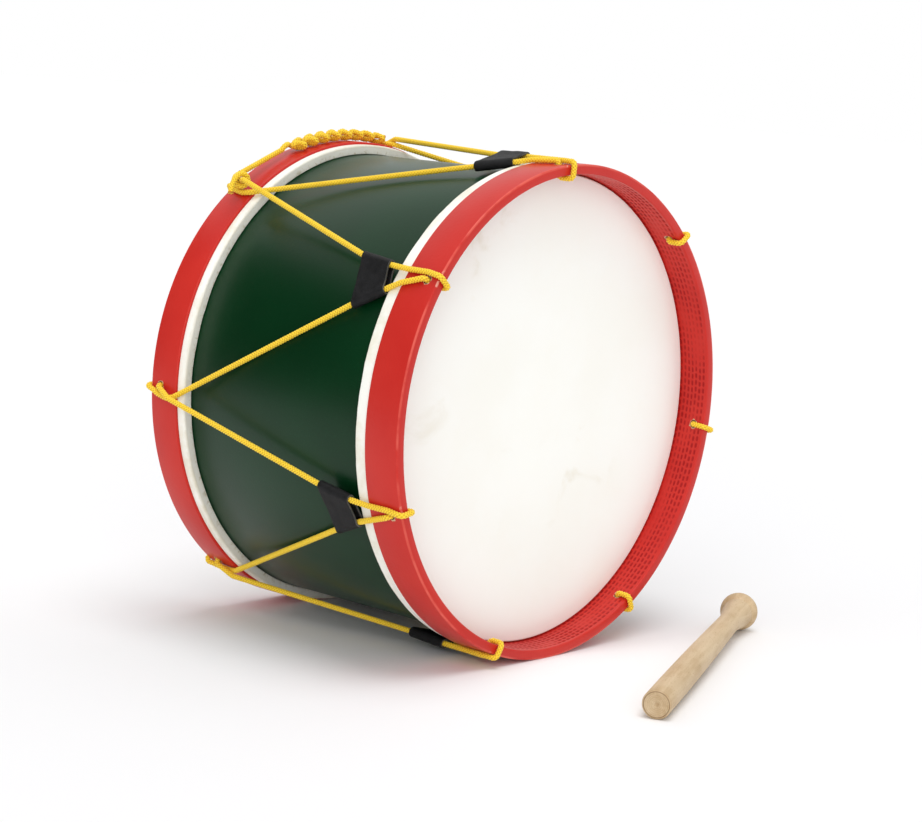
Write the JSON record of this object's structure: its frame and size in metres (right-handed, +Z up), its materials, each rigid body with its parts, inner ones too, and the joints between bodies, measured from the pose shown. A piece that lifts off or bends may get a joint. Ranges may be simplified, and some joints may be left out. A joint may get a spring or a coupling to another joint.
{
  "type": "rope-tensioned tom-tom",
  "caption": "Rope-tensioned hand drum lying on its side, with laced hoops, leather tugs that slide to tighten the skins, a chain of spare rope and a wooden beater.",
  "frame": {"origin": "on the floor, under the middle of the front counterhoop's width", "axes": "+Z up, -Y out of the front head along the drum's axis, +X to the right seen from the front"},
  "size_m": [0.3929, 0.3957, 0.3589],
  "materials": {
    "green_shell": "satin green lacquer",
    "skin": "bleached calf skin, matte",
    "bare_wood": "raw",
    "red_lacquer": "glossy red lacquer",
    "black_leather": "grained, matte",
    "yellow_rope": "braided, matte",
    "beech": "turned, oiled"
  },
  "bodies": {
    "drum": {"shell": "green_shell", "front_head": "skin", "rear_head": "skin", "front_flesh_hoop": "bare_wood", "rear_flesh_hoop": "bare_wood", "front_counterhoop": "red_lacquer", "rear_counterhoop": "red_lacquer", "rope_stay_1": "yellow_rope", "rope_stay_2": "yellow_rope", "rope_stay_3": "yellow_rope", "rope_stay_4": "yellow_rope", "rope_stay_5": "yellow_rope", "rope_stay_6": "yellow_rope", "rope_stay_7": "yellow_rope", "rope_chain": "yellow_rope", "rope_knot": "yellow_rope"},
    "tug_1": {"tug_1": "black_leather"},
    "tug_2": {"tug_2": "black_leather"},
    "tug_3": {"tug_3": "black_leather"},
    "tug_4": {"tug_4": "black_leather"},
    "tug_5": {"tug_5": "black_leather"},
    "tug_6": {"tug_6": "black_leather"},
    "tug_7": {"tug_7": "black_leather"},
    "beater": {"beater": "beech"}
  },
  "joints": [
    {"name": "tug_1_slide", "type": "slide", "parent": "drum", "child": "tug_1", "axis": [-0.1163, 0.9931, -0.0162], "range_m": [0, 0.03], "deforming": ["rope_stay_1"]},
    {"name": "tug_2_slide", "type": "slide", "parent": "drum", "child": "tug_2", "axis": [-0.0756, 0.9896, -0.1223], "range_m": [0, 0.03], "deforming": ["rope_stay_2"]},
    {"name": "tug_3_slide", "type": "slide", "parent": "drum", "child": "tug_3", "axis": [0.0462, 0.9916, -0.1211], "range_m": [0, 0.03], "deforming": ["rope_stay_3"]},
    {"name": "tug_4_slide", "type": "slide", "parent": "drum", "child": "tug_4", "axis": [0.133, 0.9902, -0.0422], "range_m": [0, 0.03], "deforming": ["rope_stay_4"]},
    {"name": "tug_5_slide", "type": "slide", "parent": "drum", "child": "tug_5", "axis": [0.1182, 0.9898, 0.0792], "range_m": [0, 0.03], "deforming": ["rope_stay_5"]},
    {"name": "tug_6_slide", "type": "slide", "parent": "drum", "child": "tug_6", "axis": [0.0103, 0.9927, 0.1205], "range_m": [0, 0.03], "deforming": ["rope_stay_6"]},
    {"name": "tug_7_slide", "type": "slide", "parent": "drum", "child": "tug_7", "axis": [-0.0731, 0.9951, 0.0662], "range_m": [0, 0.03], "deforming": ["rope_stay_7"]},
    {"name": "beater_lift", "type": "slide", "parent": "drum", "child": "beater", "axis": [0, 0, 1], "range_m": [0, 0.25]}
  ]
}
